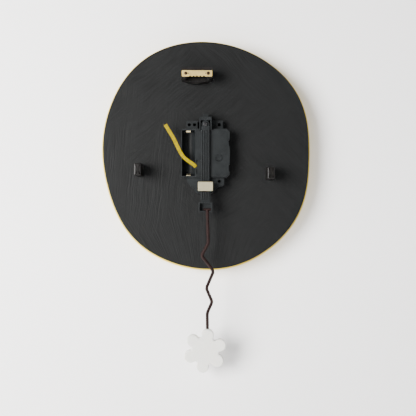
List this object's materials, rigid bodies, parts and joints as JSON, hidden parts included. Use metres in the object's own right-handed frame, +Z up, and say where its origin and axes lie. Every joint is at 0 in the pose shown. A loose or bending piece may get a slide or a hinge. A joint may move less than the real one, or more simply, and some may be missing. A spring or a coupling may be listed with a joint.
{
  "type": "pendulum wall clock",
  "caption": "Pebble-shaped wall clock with a quartz pendulum movement, sawtooth hanger, spacer pegs, hands and a swinging rod with a flower bob.",
  "frame": {"origin": "the sawtooth hanger's middle notch, in the plane of the wall", "axes": "+Z up, +Y towards the wall, the dial faces -Y"},
  "size_m": [0.2465, 0.0534, 0.3848],
  "materials": {
    "board_black": "brushed satin black paint",
    "bob_white": "matt white",
    "brass": "stamped",
    "cap_cream": "moulded",
    "chip_black": "epoxy",
    "circuit_green": "solder mask",
    "copper": "enamelled wire winding",
    "dial_yellow": "satin yellow paint",
    "ferrite": "sintered magnet",
    "gasket_rubber": "matte",
    "gear_white": "moulded",
    "gloss_black": "glossy",
    "hand_white": "white lacquer",
    "movement_black": "moulded satin",
    "nail_brown": "browned",
    "ribbon_yellow": "ribbed woven tape",
    "rod_brown": "dark brown twisted wire",
    "steel": "plain"
  },
  "bodies": {
    "clock_case": {"backing_board": "board_black", "dial_plate": "dial_yellow", "hanger_block": "gloss_black", "sawtooth_hanger": "brass", "hanger_nail_left": "nail_brown", "hanger_nail_right": "nail_brown", "standoff_left": "gloss_black", "standoff_right": "gloss_black", "movement_gasket": "gasket_rubber", "dial_washer": "brass", "fixing_nut": "brass", "rear_cover": "movement_black", "front_case": "movement_black", "train_plate": "movement_black", "motor_stator": "steel", "coil_core": "steel", "motor_coil": "copper", "circuit_board": "circuit_green", "timer_chip": "chip_black", "quartz_crystal": "steel", "positive_contact": "brass", "negative_contact": "brass", "battery_ribbon": "ribbon_yellow", "drive_coil": "copper", "pivot_screw": "steel"},
    "minute_hand_set": {"minute_arbor": "steel", "minute_hand": "hand_white", "hand_nut": "hand_white"},
    "hour_hand_set": {"hour_wheel": "gear_white", "hour_hand": "hand_white"},
    "minute_wheel_set": {"minute_wheel": "gear_white"},
    "setting_set": {"setting_knob": "movement_black"},
    "centre_wheel_set": {"centre_wheel": "gear_white"},
    "third_wheel_set": {"third_wheel": "gear_white"},
    "seconds_wheel_set": {"seconds_wheel": "gear_white"},
    "intermediate_set": {"intermediate_wheel": "gear_white"},
    "rotor_set": {"rotor": "gear_white", "rotor_magnet": "ferrite"},
    "pendulum_arm_set": {"pendulum_arm": "movement_black", "pivot_bush": "brass", "drive_magnet": "ferrite", "magnet_cap": "cap_cream"},
    "pendulum_drop": {"pendulum_rod": "rod_brown", "pendulum_bob": "bob_white"}
  },
  "joints": [
    {"name": "minute_hand_turn", "type": "hinge", "parent": "clock_case", "child": "minute_hand_set", "pos_m": [-0.0096, -0.0106, -0.0876], "axis": [0, 1, 0], "continuous": true},
    {"name": "hour_hand_turn", "type": "hinge", "parent": "clock_case", "child": "hour_hand_set", "pos_m": [-0.0096, -0.0106, -0.0876], "axis": [0, 1, 0], "continuous": true},
    {"name": "minute_wheel_turn", "type": "hinge", "parent": "clock_case", "child": "minute_wheel_set", "pos_m": [-0.01577, -0.0106, -0.09495], "axis": [0, 1, 0], "continuous": true},
    {"name": "setting_knob_turn", "type": "hinge", "parent": "clock_case", "child": "setting_set", "pos_m": [-0.02521, -0.0106, -0.0932], "axis": [0, 1, 0], "continuous": true},
    {"name": "seconds_wheel_turn", "type": "hinge", "parent": "clock_case", "child": "seconds_wheel_set", "pos_m": [-0.0096, -0.0106, -0.0876], "axis": [0, 1, 0], "continuous": true},
    {"name": "third_wheel_turn", "type": "hinge", "parent": "clock_case", "child": "third_wheel_set", "pos_m": [-0.01526, -0.0106, -0.08009], "axis": [0, 1, 0], "continuous": true},
    {"name": "centre_wheel_turn", "type": "hinge", "parent": "clock_case", "child": "centre_wheel_set", "pos_m": [-0.0096, -0.0106, -0.0876], "axis": [0, 1, 0], "continuous": true},
    {"name": "intermediate_wheel_turn", "type": "hinge", "parent": "clock_case", "child": "intermediate_set", "pos_m": [-0.01123, -0.0106, -0.09686], "axis": [0, 1, 0], "continuous": true},
    {"name": "rotor_turn", "type": "hinge", "parent": "clock_case", "child": "rotor_set", "pos_m": [-0.01586, -0.0106, -0.10237], "axis": [0, 1, 0], "continuous": true},
    {"name": "pendulum_swing", "type": "hinge", "parent": "clock_case", "child": "pendulum_arm_set", "pos_m": [-0.0096, -0.0106, -0.0546], "axis": [0, 1, 0], "range_deg": [-8, 8]},
    {"name": "rod_hook_swing", "type": "hinge", "parent": "pendulum_arm_set", "child": "pendulum_drop", "pos_m": [-0.0116, -0.00634, -0.1524], "axis": [1, 0, 0], "range_deg": [-6, 0.6]}
  ],
  "couplings": [
    {"joint": "hour_hand_turn", "follows": "minute_hand_turn", "ratio": 0.083333},
    {"joint": "minute_wheel_turn", "follows": "minute_hand_turn", "ratio": -0.33333},
    {"joint": "setting_knob_turn", "follows": "minute_hand_turn", "ratio": 1},
    {"joint": "third_wheel_turn", "follows": "seconds_wheel_turn", "ratio": -0.125},
    {"joint": "centre_wheel_turn", "follows": "seconds_wheel_turn", "ratio": 0.016667},
    {"joint": "intermediate_wheel_turn", "follows": "seconds_wheel_turn", "ratio": -6},
    {"joint": "rotor_turn", "follows": "seconds_wheel_turn", "ratio": 30}
  ]
}
